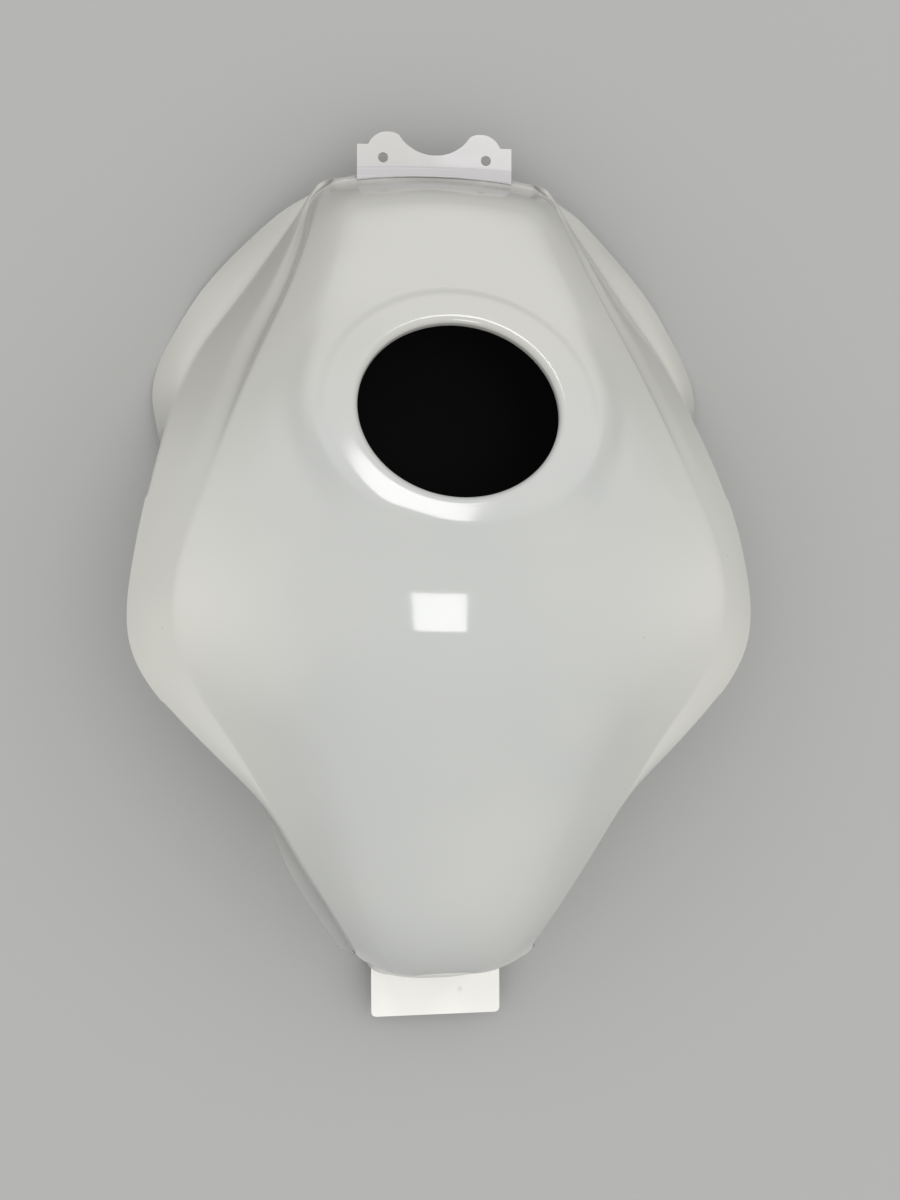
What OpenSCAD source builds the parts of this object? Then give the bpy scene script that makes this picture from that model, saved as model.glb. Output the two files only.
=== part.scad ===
// Cover shell for a motorcycle fuel tank: one moulded shell with a filler opening, a front bracket
// with two screw ears and a rear tongue. +Y is the front, +Z is up, and the shell's lowest edges
// stand on Z = 0.

/* [Shell] */
// Length of the moulded shell, from its front rim to its rear edge
shell_length = 526; // [440:2:620]
// Width across the two shoulders
shell_width = 394; // [340:2:460]
// Height of the crown above the surface that the cover stands on
shell_height = 184; // [150:1:215]
// Wall thickness of the shell
wall = 3; // [2:0.5:4]

/* [Filler opening] */
// Diameter of the opening that the filler neck comes through
filler_d = 120; // [90:1:126]
// Distance of the opening's centre in front of the middle of the shell
filler_forward = 99; // [93:1:105]
// Diameter of the flat collar around the opening
collar_d = 164; // [150:1:168]
// Height of the collar above the surface in front of it
collar_rise = 1.2; // [0.6:0.2:3]
// Depth of the turned-down lip below the collar, measured along the opening's axis
lip_depth = 7; // [5:0.5:10]

/* [Front bracket] */
// Width of the bracket
bracket_w = 103; // [94:1:112]
// Length of the bracket from its foot to the top of its ears
bracket_l = 29; // [26:1:36]
// Thickness of the bracket's plate
bracket_t = 2.5; // [2:0.5:4]
// Distance between the two screw holes
hole_spacing = 68.5; // [60:0.5:76]
// Diameter of each screw hole
hole_d = 6.5; // [4:0.5:8]
// Distance between the middles of the two round ears
ear_spacing = 62; // [56:1:66]
// Radius of the two round ears
ear_r = 14; // [12:0.5:15]
// Radius of the hollow between the two ears
hollow_r = 28; // [24:1:34]
// How far the bottom of that hollow lies behind the tops of the ears
hollow_back = 15; // [12:0.5:18]
// How far the bracket's outer corners lie behind the tops of the ears
corner_back = 9; // [6:0.5:11]
// Distance of the screw holes behind the tops of the ears
hole_back = 17.5; // [14:0.5:19]

/* [Rear tongue] */
// Width of the tongue
tongue_w = 87; // [60:1:92]
// How far the tongue stands out behind the shell's rear edge
tongue_reach = 38; // [25:1:50]
// Thickness of the tongue's plate
tongue_t = 2.5; // [2:0.5:4]
// Height of the tongue's upper face above the standing surface
tongue_top = 18; // [12:1:24]
// Radius of the tongue's two free corners
tongue_corner_r = 3; // [1:1:12]

/* [Hidden] */

// The size for which the style lines below are drawn: width, length and height.
drawn = [394, 526, 184];
stretch = [shell_width / drawn.x, shell_length / drawn.y, shell_height / drawn.z];

// Style lines. Each point is [distance in front of the middle, distance from the centre plane,
// height], from the front to the rear.
centre_line = [
    [269, 0, 34], [264.5, 0, 34], [258, 0, 44], [247, 0, 66], [235, 0, 80], [200, 0, 97],
    [153, 0, 119], [99, 0, 143.5], [44, 0, 168.5], [24, 0, 177.5], [0, 0, 183], [-20, 0, 184],
    [-40, 0, 183], [-65, 0, 177], [-100, 0, 164], [-140, 0, 146], [-180, 0, 127], [-215, 0, 108],
    [-240, 0, 89], [-252, 0, 74], [-256, 0, 64]];
// The rim is flat behind the bracket, and a little way past it on each side.
rim_margin = 1.5;
flat_rim = (bracket_w / 2 + rim_margin) / stretch.x;
crease_line = [
    [269, flat_rim, 34], [260, flat_rim, 34], [252, 55, 47], [242, 58, 65], [230, 61, 77],
    [212, 64, 89], [177, 73, 108], [146, 82, 121], [107, 94, 135], [78, 96, 146], [42, 97, 158],
    [8, 97, 166.5], [-30, 96, 167], [-60, 91, 161.5], [-86, 84, 154], [-121, 74, 141],
    [-155, 66, 126.5], [-187, 58, 111.5], [-212, 51, 99], [-234, 43, 85], [-253, 34, 66]];
shoulder_line = [
    [264, 66, 34], [258, 69, 34], [252, 74, 39], [243, 78, 49], [215, 86, 68], [180, 98, 86],
    [140, 116, 98], [100, 132, 110], [60, 146, 121], [25, 159, 127], [-10, 167, 127],
    [-40, 165, 121], [-70, 153, 113], [-100, 134, 106], [-140, 111, 98], [-180, 89, 89],
    [-215, 69, 80], [-237, 57, 68]];
flank_line = [
    [257, 78, 34], [252, 82, 33], [240, 89, 33], [215, 106, 33], [180, 132, 29], [150, 155, 27],
    [120, 168, 36], [90, 177, 54], [60, 184, 72], [25, 191, 85], [-15, 197, 88],
    [-40, 196, 88], [-60, 188, 89], [-80, 173, 91], [-105, 149, 93], [-140, 116, 89],
    [-180, 93, 79], [-215, 72, 70], [-239, 59, 56]];
hem_line = [
    [256, 77, 34], [251, 84, 31], [245.5, 95, 27], [238, 106.5, 21], [229, 118, 15], [210, 138.5, 8],
    [192, 154.5, 4], [168, 170, 1], [148, 181, 0], [132, 186, 2], [118, 186.5, 5], [90, 181, 12],
    [50, 173, 16], [0, 163, 16], [-50, 147, 11], [-100, 128, 4], [-150, 115, 0], [-195, 99, 0],
    [-221, 84, 0], [-253, 62, 0]];

// Bend of the wall between the flank line and the hem: 1 is straight, more keeps it upright
// first and then lets it flare.
hem_bend = [[266, 0, 1], [110, 0, 1], [0, 0, 0.8], [-90, 0, 1.2], [-150, 0, 2.6], [-260, 0, 2.6]];

// How much of the small step outside the shoulder line there is, and of the ledge below it.
step_share = [[266, 0, 0], [248, 0, 1], [150, 0, 1], [55, 0, 0], [-260, 0, 0]];
ledge_share = [[266, 0, 0], [240, 0, 1], [190, 0, 1], [140, 0, 0], [-260, 0, 0]];
step_offset = [-1.5, 0, -3.5];
ledge_offset = [3, 0, 1.5];
// Where the step ends and the ledge ends, as shares of the way from the shoulder to the flank line.
step_end = 0.12;
ledge_end = 0.2;
// How much the chamfer bows down between the crease and the shoulder: 0 is straight.
chamfer_bow = 0.25;
// How far the flank bulges between the shoulder and the flank line.
flank_crown = 1.5;

// Divisions of the mesh across one half, from the centre to the hem.
crown_parts = 5;
chamfer_parts = 4;
flank_parts = 4;
hem_parts = 4;
shoulder_col = crown_parts + chamfer_parts;
flank_col = shoulder_col + 2 + flank_parts;
half_cols = flank_col + hem_parts;

// Rows of the mesh, as places of the row's middle on the centre line.
front_rows = [269, 264.5, 261, 256, 250, 243, 236, 227, 217, 207];
row_step = 9;
middle_rows = [for (y = [197 : -row_step : -235]) y];
rear_rows = [-243, -249, -253, -256];
rows = concat(front_rows, middle_rows, rear_rows);
last_row = len(rows) - 1;

// Rows bow back at the front and forward at the rear, as the rims do.
front_bow = 15.5;
front_bow_at_shoulder = 0.42;
front_bow_start = 160;
rear_bow = 19;
rear_bow_start = -150;
rear_flare = 15;

function clamp01(t) = min(1, max(0, t));
function smooth(t) = let (c = clamp01(t)) c * c * (3 - 2 * c);
function mix(a, b, t) = a + (b - a) * t;
function unit(v) = v / norm(v);

// Slope of a style line at its knot i.
function knot_slope(k, i) =
    let (a = k[max(0, i - 1)], b = k[min(len(k) - 1, i + 1)])
    (b - a) / (b[0] - a[0]);

// Point of a style line at the drawn place y, on a smooth curve through the knots.
function on_line(k, y) =
    let (i = min(len(k) - 2, max(0, len([for (p = k) if (p[0] >= y) 1]) - 1)),
         a = k[i], b = k[i + 1], h = b[0] - a[0], t = clamp01((y - a[0]) / h),
         ma = knot_slope(k, i) * h, mb = knot_slope(k, i + 1) * h,
         p = a * (2 * t^3 - 3 * t^2 + 1) + ma * (t^3 - 2 * t^2 + t)
             + b * (3 * t^2 - 2 * t^3) + mb * (t^3 - t^2))
    [p[1], y, p[2]];

// Height of the drawn top surface at a plan place, without the collar.
function crown_z(x, y) =
    let (c = on_line(centre_line, y), b = on_line(crease_line, y), s = on_line(shoulder_line, y),
         d = abs(x), t = (d - b.x) / (s.x - b.x))
    d <= b.x ? mix(c.z, b.z, (d / b.x)^2) : mix(b.z, s.z, (1 - chamfer_bow) * t + chamfer_bow * t^2);

// The opening's plane, in real sizes: its centre, its axis and its tilt, which is the slope of
// the centre line over a stretch in front of the centre and behind it.
tilt_reach = 30;
filler_y = filler_forward / stretch.y;
filler_rise = (crown_z(0, filler_y - tilt_reach) - crown_z(0, filler_y + tilt_reach)) * stretch.z;
filler_tilt = atan2(filler_rise, 2 * tilt_reach * stretch.y);
filler_centre = [0, filler_forward, crown_z(0, filler_y) * stretch.z];
filler_axis = [0, sin(filler_tilt), cos(filler_tilt)];
filler_r = filler_d / 2;
collar_r = collar_d / 2;

// A point of the opening's plane, at a radius and an angle around its axis.
function on_collar(r, a) =
    filler_centre + r * [cos(a), sin(a) * cos(filler_tilt), -sin(a) * sin(filler_tilt)];

// Height of the real top surface at a plan place.
function top_z(x, y) = crown_z(x / stretch.x, y / stretch.y) * stretch.z;

// Drawn place of a row, at a share of the way across it: 0 on the centre, 1 on the shoulder line
// and 2 on the hem.
function row_y(i, across) =
    let (y = rows[i], f = clamp01((y - front_bow_start) / (rows[0] - front_bow_start)),
         r = clamp01((rear_bow_start - y) / (rear_bow_start - rows[last_row])),
         bowed = across <= 1 ? front_bow_at_shoulder * smooth(across)
             : mix(front_bow_at_shoulder, 1, across - 1))
    y - front_bow * f^2 * bowed + rear_bow * r^1.5 * min(1, across)^3;

function hem_flare(i) =
    rear_flare * clamp01((rear_bow_start - rows[i]) / (rear_bow_start - rows[last_row]))^2;

// Drawn point of row i and column j of the right half, from the centre (0) to the hem.
function across(j) =
    j <= shoulder_col ? j / shoulder_col
    : 1 + (j - shoulder_col) / (half_cols - shoulder_col);
function drawn_point(i, j) =
    let (y = row_y(i, across(j)), s = on_line(shoulder_line, y), e = on_line(flank_line, y))
    j <= shoulder_col ?
        let (b = on_line(crease_line, y), t = (j - crown_parts) / chamfer_parts,
             x = j <= crown_parts ? b.x * j / crown_parts : mix(b.x, s.x, t))
        [x, y, crown_z(x, y)]
    : j <= flank_col ?
        let (step = on_line(step_share, y).z * step_offset,
             ledge = mix(s, e, ledge_end) + on_line(ledge_share, y).z * ledge_offset,
             t = (j - shoulder_col - 2) / flank_parts)
        j == shoulder_col + 1 ? mix(s, e, step_end) + step
        : mix(ledge, e, t) + [0, 0, 4 * flank_crown * t * (1 - t)]
    :
        let (h = on_line(hem_line, y - hem_flare(i)), t = (j - flank_col) / hem_parts,
             bend = on_line(hem_bend, y).z)
        [mix(e.x, h.x, t^bend), mix(e.y, h.y, t^bend), mix(e.z, h.z, t)];

function scaled(p) = [p.x * stretch.x, p.y * stretch.y, max(0, p.z * stretch.z)];

half_grid = [for (i = [0 : last_row]) [for (j = [0 : half_cols]) scaled(drawn_point(i, j))]];
function grid_point(i, j) =
    j >= 0 ? half_grid[i][j] : [-half_grid[i][-j].x, half_grid[i][-j].y, half_grid[i][-j].z];

// The rear wall goes down from the last row, level by level, beside the corners of the flanks.
// Over the tongue it ends at the tongue's upper face and turns in as a flat land.
wall_levels = half_cols - shoulder_col;
pocket_col = shoulder_col - 2;
pocket_gap = 2;
pocket_half = tongue_w / 2 + pocket_gap;
pocket_wall = 2.5;
land_depth = 16;
land_y = (rows[last_row] + land_depth) * stretch.y;
wall_bulge = 0.1;
function wall_share(m) =
    (half_grid[last_row][shoulder_col].z - half_grid[last_row][shoulder_col + m].z)
    / (half_grid[last_row][shoulder_col].z - half_grid[last_row][half_cols].z);
function wall_point(m, j) =
    let (sign = j < 0 ? -1 : 1, top = grid_point(last_row, j),
         corner = half_grid[last_row][shoulder_col], side = half_grid[last_row][shoulder_col + m],
         back = (corner.y - side.y) * (1 + wall_bulge * (1 - (j / shoulder_col)^2)),
         down = wall_share(m), pocket_down = min(1, down / wall_share(wall_levels - 1)))
    abs(j) == shoulder_col ? [sign * side.x, side.y, side.z]
    : abs(j) > pocket_col ?
        [mix(top.x, sign * (pocket_half + pocket_wall), pocket_down), top.y - back,
         mix(top.z, side.z, down)]
    : [mix(top.x, pocket_half * j / pocket_col, pocket_down),
       m == wall_levels ? land_y : top.y - back,
       mix(top.z, tongue_top, pocket_down)];

// Any point of the outer surface: rows past the last one are levels of the rear wall.
function outer_point(i, j) =
    i <= last_row ? grid_point(i, j) : wall_point(i - last_row, j);

// Neighbours in the mesh, to find the direction of the wall's thickness.
function ahead(i, j) =
    i > 0 ? outer_point(i - 1, j) : 2 * outer_point(0, j) - outer_point(1, j);
function behind(i, j) =
    i < last_row ? outer_point(i + 1, j)
    : i == last_row && abs(j) > shoulder_col ?
        wall_point(abs(j) - shoulder_col, (j < 0 ? -1 : 1) * (shoulder_col - 1))
    : i == last_row + wall_levels ? 2 * outer_point(i, j) - outer_point(i - 1, j)
    : outer_point(i + 1, j);
function is_edge(i, j) =
    abs(j) == (i > last_row ? shoulder_col : half_cols)
    || (i == last_row + wall_levels && abs(j) == pocket_col);
function to_right(i, j) =
    j >= 0 && is_edge(i, j) || i == last_row + wall_levels && j == -pocket_col - 1 ?
        2 * outer_point(i, j) - outer_point(i, j - 1) : outer_point(i, j + 1);
function to_left(i, j) =
    j <= 0 && is_edge(i, j) || i == last_row + wall_levels && j == pocket_col + 1 ?
        2 * outer_point(i, j) - outer_point(i, j + 1) : outer_point(i, j - 1);
function outward(i, j) = unit(cross(to_right(i, j) - to_left(i, j), ahead(i, j) - behind(i, j)));

// Block of the mesh that gives way to rings around the opening.
block_col = crown_parts;
block_y = [192, 6];
block_rows = [for (i = [0 : last_row]) if (rows[i] < block_y[0] && rows[i] > block_y[1]) i];
block_first = block_rows[0];
block_last = block_rows[len(block_rows) - 1];
block_loop = concat(
    [for (j = [-block_col : block_col - 1]) [block_first, j]],
    [for (i = [block_first : block_last - 1]) [i, block_col]],
    [for (j = [block_col : -1 : -block_col + 1]) [block_last, j]],
    [for (i = [block_last : -1 : block_first + 1]) [i, -block_col]]);
loop_len = len(block_loop);

// Rings around the opening: radius in the collar's plane. The first three lie on the top surface,
// the others on the collar, and the last one is cut away by the opening. The first ring lies
// halfway between the block's edge and the second ring.
collar_lead = 5;
collar_foot = 1;
collar_slope = 2;
ring_r = [collar_r + collar_lead, collar_r + collar_lead, collar_r + collar_foot,
          collar_r - collar_slope, (collar_r + filler_r) / 2, filler_r + wall, filler_r - wall];
free_rings = 3;
lip_ring = len(ring_r) - 2;
function ring_point(m, k) =
    let (edge = grid_point(block_loop[k][0], block_loop[k][1]), b = edge - filler_centre,
         a = atan2(b.y / cos(filler_tilt), b.x), ring = on_collar(ring_r[m], a),
         p = m == 0 ? (ring + edge) / 2 : ring)
    m < free_rings ? [p.x, p.y, top_z(p.x, p.y)] : p + collar_rise * filler_axis;

shell_grid = concat(
    [for (i = [0 : last_row]) [for (j = [-half_cols : half_cols]) [i, j]]],
    [for (m = [1 : wall_levels]) [for (j = [-(shoulder_col - 1) : shoulder_col - 1])
        [last_row + m, j]]]);
grid_keys = [for (row = shell_grid) each row];
outer_grid = [for (k = grid_keys) outer_point(k[0], k[1])];
inner_grid = [for (k = grid_keys)
    let (p = outer_point(k[0], k[1]) - wall * outward(k[0], k[1])) [p.x, p.y, max(0, p.z)]];
outer_rings = [for (m = [0 : len(ring_r) - 1]) for (k = [0 : loop_len - 1]) ring_point(m, k)];
inner_rings = [for (m = [0 : len(ring_r) - 1]) for (k = [0 : loop_len - 1])
    ring_point(m, k) - (m >= lip_ring ? lip_depth : wall) * filler_axis];

// Numbers of the mesh points.
row_len = 2 * half_cols + 1;
wall_len = 2 * shoulder_col - 1;
grid_len = len(grid_keys);
rings_len = len(outer_rings);
inner_start = grid_len + rings_len;
function id(i, j) =
    i <= last_row ? i * row_len + j + half_cols
    : abs(j) == shoulder_col ? id(last_row, (j < 0 ? -1 : 1) * (shoulder_col + i - last_row))
    : (last_row + 1) * row_len + (i - last_row - 1) * wall_len + j + shoulder_col - 1;
function ring_id(m, k) =
    m < 0 ? id(block_loop[k % loop_len][0], block_loop[k % loop_len][1])
    : grid_len + m * loop_len + k % loop_len;

function in_block(i, j) =
    i >= block_first && i < block_last && j >= -block_col && j < block_col;
quads = concat(
    [for (i = [0 : last_row - 1]) for (j = [-half_cols : half_cols - 1])
        if (!in_block(i, j)) [id(i, j), id(i, j + 1), id(i + 1, j + 1), id(i + 1, j)]],
    [for (i = [last_row : last_row + wall_levels - 1])
        for (j = [-shoulder_col : shoulder_col - 1])
        [id(i, j), id(i, j + 1), id(i + 1, j + 1), id(i + 1, j)]],
    [for (m = [-1 : len(ring_r) - 2]) for (k = [0 : loop_len - 1])
        [ring_id(m, k), ring_id(m, k + 1), ring_id(m + 1, k + 1), ring_id(m + 1, k)]]);

// The free edge all round the hem, and the edge inside the opening.
hem_loop = concat(
    [for (j = [-half_cols : half_cols - 1]) id(0, j)],
    [for (i = [0 : last_row - 1]) id(i, half_cols)],
    [for (j = [shoulder_col : -1 : -shoulder_col + 1]) id(last_row + wall_levels, j)],
    [for (i = [last_row : -1 : 1]) id(i, -half_cols)]);
hole_loop = [for (k = [0 : loop_len - 1]) ring_id(len(ring_r) - 1, k)];

function flip(q) = [q[3] + inner_start, q[2] + inner_start, q[1] + inner_start, q[0] + inner_start];
function strip(loop, k) =
    let (a = loop[k], b = loop[(k + 1) % len(loop)]) [b, a, a + inner_start, b + inner_start];
function halves(q) = [[q[0], q[1], q[2]], [q[0], q[2], q[3]]];
shell_quads = concat(
    quads,
    [for (q = quads) flip(q)],
    [for (k = [0 : len(hem_loop) - 1]) strip(hem_loop, k)],
    [for (k = [0 : loop_len - 1]) let (s = strip(hole_loop, k)) [s[1], s[0], s[3], s[2]]]);
shell_points = concat(outer_grid, outer_rings, inner_grid, inner_rings);
shell_faces = [for (q = shell_quads) each halves(q)];

// The bracket lies on the front rim's flat top, and its foot follows the base of the front.
rim_top = centre_line[0].z * stretch.z;
base_middle = half_grid[1][0];
base_side = half_grid[1][crown_parts];
base_sag = base_middle.y - base_side.y;
base_r = (base_side.x^2 + base_sag^2) / (2 * base_sag);
foot_gap = 0.5;
foot_y = base_middle.y + foot_gap;
ear_top = foot_y + bracket_l;
bracket_corner = ear_top - corner_back;
bracket_hollow_y = ear_top - hollow_back;

// The tongue lies under the rear wall's land.
rear_edge = rows[last_row] * stretch.y;
tongue_end = rear_edge - tongue_reach;

module cover_shell() {
    color([0.93, 0.93, 0.91])
    difference() {
        polyhedron(points = shell_points, faces = shell_faces, convexity = 8);
        translate(filler_centre)
            rotate([-filler_tilt, 0, 0])
                cylinder(r = filler_r, h = 4 * lip_depth, center = true, $fn = 96);
    }
}

module bracket_outline() {
    difference() {
        union() {
            translate([-bracket_w / 2, base_side.y])
                square([bracket_w, bracket_corner - base_side.y]);
            for (side = [-1, 1])
                translate([side * ear_spacing / 2, ear_top - ear_r]) circle(ear_r, $fn = 64);
        }
        // Room for the front of the shell
        translate([0, foot_y - base_r]) circle(base_r, $fn = 180);
        // Hollow between the ears
        translate([0, bracket_hollow_y + hollow_r]) circle(hollow_r, $fn = 96);
    }
}

module front_bracket() {
    color([0.95, 0.95, 0.95])
    translate([0, 0, rim_top])
    difference() {
        linear_extrude(bracket_t) bracket_outline();
        for (side = [-1, 1])
            translate([side * hole_spacing / 2, ear_top - hole_back, -bracket_t])
                cylinder(d = hole_d, h = 3 * bracket_t, $fn = 48);
    }
}

module rear_tongue() {
    corner_x = tongue_w / 2 - tongue_corner_r;
    color([0.96, 0.96, 0.94])
    translate([0, 0, tongue_top - tongue_t])
    linear_extrude(tongue_t)
    union() {
        translate([-tongue_w / 2, tongue_end + tongue_corner_r])
            square([tongue_w, land_y - tongue_end - tongue_corner_r]);
        translate([-corner_x, tongue_end]) square([2 * corner_x, 2 * tongue_corner_r]);
        for (side = [-1, 1])
            translate([side * corner_x, tongue_end + tongue_corner_r])
                circle(tongue_corner_r, $fn = 32);
    }
}

cover_shell();
front_bracket();
rear_tongue();
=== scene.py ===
"""Cover of a motorcycle fuel tank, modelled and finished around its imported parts.

One moulded gloss shell has a filler opening with a flat collar, a front bracket and a rear tongue.
Sizes are in millimetres unless a unit says otherwise. +Y is the front and +Z is up.
"""

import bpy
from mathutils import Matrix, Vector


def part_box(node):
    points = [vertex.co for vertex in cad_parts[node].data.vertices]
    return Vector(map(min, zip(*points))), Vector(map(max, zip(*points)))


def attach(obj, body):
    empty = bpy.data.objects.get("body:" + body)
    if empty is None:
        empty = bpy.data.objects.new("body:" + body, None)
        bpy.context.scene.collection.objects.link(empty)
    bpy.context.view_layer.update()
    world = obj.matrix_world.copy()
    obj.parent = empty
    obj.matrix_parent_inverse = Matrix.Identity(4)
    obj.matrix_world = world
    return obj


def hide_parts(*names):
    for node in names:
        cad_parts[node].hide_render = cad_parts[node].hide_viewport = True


bl_info = {
    "name": "Fuel Tank Cover",
    "version": (1, 0, 0),
    "blender": (4, 5, 0),
    "location": "View3D > Sidebar > Tank Cover",
    "description": "Models a moulded fuel tank cover with its bracket and its tongue",
    "category": "Object",
}

from math import atan2, cos, hypot, pi, radians, sin, sqrt, tan

import bmesh
import bpy
from bpy.props import FloatProperty, FloatVectorProperty, IntProperty, PointerProperty
from mathutils import Matrix, Vector

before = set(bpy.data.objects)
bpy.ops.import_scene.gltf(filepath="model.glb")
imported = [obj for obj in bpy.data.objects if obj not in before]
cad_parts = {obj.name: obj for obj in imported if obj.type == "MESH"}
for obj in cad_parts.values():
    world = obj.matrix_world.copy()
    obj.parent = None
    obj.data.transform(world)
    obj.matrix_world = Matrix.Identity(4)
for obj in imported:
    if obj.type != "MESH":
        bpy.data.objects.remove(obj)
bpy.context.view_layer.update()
BRACKET_LOW, BRACKET_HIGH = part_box("front_bracket")
TONGUE_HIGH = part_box("rear_tongue")[1]

MM = 0.001

# ---------------------------------------------------------------- style lines of the shell
# Each point is (distance in front of the middle, distance from the centre plane, height).

CENTRE_LINE = (
    (269, 0, 34), (264.5, 0, 34), (258, 0, 45), (250, 0, 63), (244, 0, 73.5), (237, 0, 79.5),
    (226, 0, 85), (200, 0, 97),
    (153, 0, 119), (99, 0, 143.5), (44, 0, 168.5), (24, 0, 177.5), (0, 0, 183), (-20, 0, 184),
    (-40, 0, 183), (-65, 0, 177), (-100, 0, 164), (-140, 0, 146), (-180, 0, 127),
    (-215, 0, 108), (-240, 0, 89), (-252, 0, 74), (-256, 0, 64),
)
FLAT_RIM = 53
CREASE_LINE = (
    (269, FLAT_RIM, 34), (260, FLAT_RIM, 34), (253, 55, 47), (246, 57, 61), (240, 58.5, 70),
    (233, 60.5, 76.5), (212, 64, 89), (177, 73, 108), (146, 82, 121), (107, 94, 135), (78, 96, 146),
    (42, 97, 158), (8, 97, 166.5), (-30, 96, 167), (-60, 91, 161.5), (-86, 84, 154),
    (-121, 74, 141), (-155, 66, 126.5), (-187, 58, 111.5), (-212, 51, 99), (-234, 43, 85),
    (-253, 34, 66),
)
SHOULDER_LINE = (
    (264, 66, 34), (258, 69, 34), (252, 74, 39), (243, 78, 49), (215, 86, 68), (180, 98, 86),
    (140, 116, 98), (100, 132, 110), (60, 146, 121), (25, 159, 127), (-10, 167, 127),
    (-40, 165, 121), (-70, 153, 113), (-100, 134, 106), (-140, 111, 98), (-180, 89, 89),
    (-215, 69, 80), (-237, 57, 68),
)
FLANK_LINE = (
    (257, 78, 34), (252, 82, 33), (240, 89, 33), (215, 106, 33), (180, 132, 29),
    (150, 155, 27), (120, 168, 36), (90, 177, 54), (60, 184, 72), (25, 191, 85),
    (-15, 197, 88), (-40, 196, 88), (-60, 188, 89), (-80, 173, 91), (-105, 149, 93),
    (-140, 116, 89), (-180, 93, 79), (-215, 72, 70), (-239, 59, 56),
)
HEM_LINE = (
    (256, 77, 34), (251, 84, 31), (245.5, 95, 27), (238, 106.5, 21), (229, 118, 15),
    (210, 138.5, 8), (192, 154.5, 4), (168, 170, 1), (148, 181, 0), (132, 186, 2),
    (118, 186.5, 5), (90, 181, 12), (50, 173, 16), (0, 163, 16), (-50, 147, 11),
    (-100, 128, 4), (-150, 115, 0), (-195, 99, 0), (-221, 84, 0), (-253, 62, 0),
)
# Bend of the wall between the flank line and the hem, and the shares of the step and the ledge
# outside the shoulder line, each as (place, share).
HEM_BEND = ((266, 0.8), (150, 0.75), (110, 0.9), (0, 0.8), (-90, 1.2), (-150, 2.6), (-260, 2.6))
STEP_SHARE = ((266, 0), (257, 0), (250, 1), (90, 1), (40, 0), (-260, 0))
LEDGE_SHARE = ((266, 0), (235, 0), (215, 1), (180, 1), (140, 0.6), (80, 0.4), (50, 0), (-260, 0))
LEDGE_OFFSET = Vector((0.5, 0, 4))
STEP_END = 0.12
LEDGE_END = 0.3
# Width and depth of the step's wall, as (place, width, depth).
STEP_WALL = (
    (266, 3, 0), (257, 4, 0), (252, 5, 5), (247, 5.5, 10), (239, 5, 14), (228, 4, 13), (214, 3, 12),
    (190, 2.5, 11), (150, 3, 11), (110, 3, 8), (80, 2.5, 4.5), (50, 2, 1.5), (-260, 2, 1.5),
)
# Half width of the rounding along the crease, as (place, half width).
CREASE_ROUND = ((266, 6), (230, 8), (180, 12), (120, 15), (60, 26), (-60, 28), (-150, 18), (-260, 8))
FLANK_CROWN = 1.5
CHAMFER_BOW = 0.25
ROUND_ROOM = 0.8

# A line is averaged over a short stretch: how far that reaches, its largest share of the way to
# the line's nearer end, and the (place, weight) of each point that counts.
FAIRING_REACH = 10.0
FAIRING_SHARE = 0.35
FAIRING_POINTS = ((-1, 1), (-0.5, 2), (0, 3), (0.5, 2), (1, 1))

# Columns of the mesh across one half: the band that they lie in, and their shares of it.
BANDS = (
    ("crown", (0, 0.09, 0.18, 0.27, 0.36, 0.45, 0.54, 0.63, 0.72, 0.81, 0.89, 0.95)),
    ("chamfer", (0, 0.07, 0.18, 0.33, 0.5, 0.67, 0.82, 0.93)),
    ("step", (0, 0.5, 1)),
    ("ledge", (0.5, 1)),
    ("flank", (0.14, 0.34, 0.54, 0.74, 0.9, 1)),
    ("hem", (0.1, 0.25, 0.42, 0.6, 0.78, 0.92, 1)),
)
COLUMNS = [(band, share) for band, shares in BANDS for share in shares]
CREASE_COLUMN = COLUMNS.index(("chamfer", 0))
SHOULDER_COLUMN = COLUMNS.index(("step", 0))
POCKET_COLUMN = COLUMNS.index(("chamfer", 0.5))
HEM_COLUMN = len(COLUMNS) - 1
WALL_LEVELS = HEM_COLUMN - SHOULDER_COLUMN
# How far across the half each band begins and ends: 1 is the shoulder line and 2 the hem.
BAND_REACH = {
    "crown": (0, 0.556), "chamfer": (0.556, 1), "step": (1, 1.1), "ledge": (1.1, 1.2),
    "flank": (1.2, 1.6), "hem": (1.6, 2),
}

# Rows of the mesh, as places of the row's middle on the centre line.
FRONT_ROWS = (269, 266.8, 264.6, 262.4, 259.4, 256, 252, 247.5, 242.5, 237, 231, 224.5, 218, 211, 204)
REAR_ROWS = (-241, -246, -250, -253, -255, -256)
ROW_STEP = 6.2
MIDDLE_ROWS = tuple(197.6 - ROW_STEP * n for n in range(71))
ROWS = FRONT_ROWS + MIDDLE_ROWS + REAR_ROWS
FRONT_BOW = 15.5
FRONT_BOW_AT_SHOULDER = 0.42
FRONT_BOW_START = 160
REAR_BOW = 19
REAR_BOW_START = -150
REAR_FLARE = 15
ROLL_START = -225

# Rear wall, and the pocket in it that the tongue comes out of.
TONGUE_TOP = TONGUE_HIGH.z / MM
TONGUE_HALF = TONGUE_HIGH.x / MM
POCKET_HALF = TONGUE_HALF + 2
POCKET_WALL = 2.5
LAND_Y = TONGUE_HIGH.y / MM
WALL_BULGE = 0.1

# Bracket: the line across it where its thinner foot begins, and its two sink marks.
BRACKET_HALF = BRACKET_HIGH.x / MM
FOOT_LINE = 271.2
FOOT_BOW = 1.5
FOOT_SLOPE = 3
FOOT_THINNING = 0.8
FOOT_TAPER = 0.7
FOOT_TAPER_LENGTH = 3
SINK_MARKS = ((-33.5, 264.5), (33, 264))
SINK_RADIUS = 3.2
SINK_DEPTH = 0.35

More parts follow.
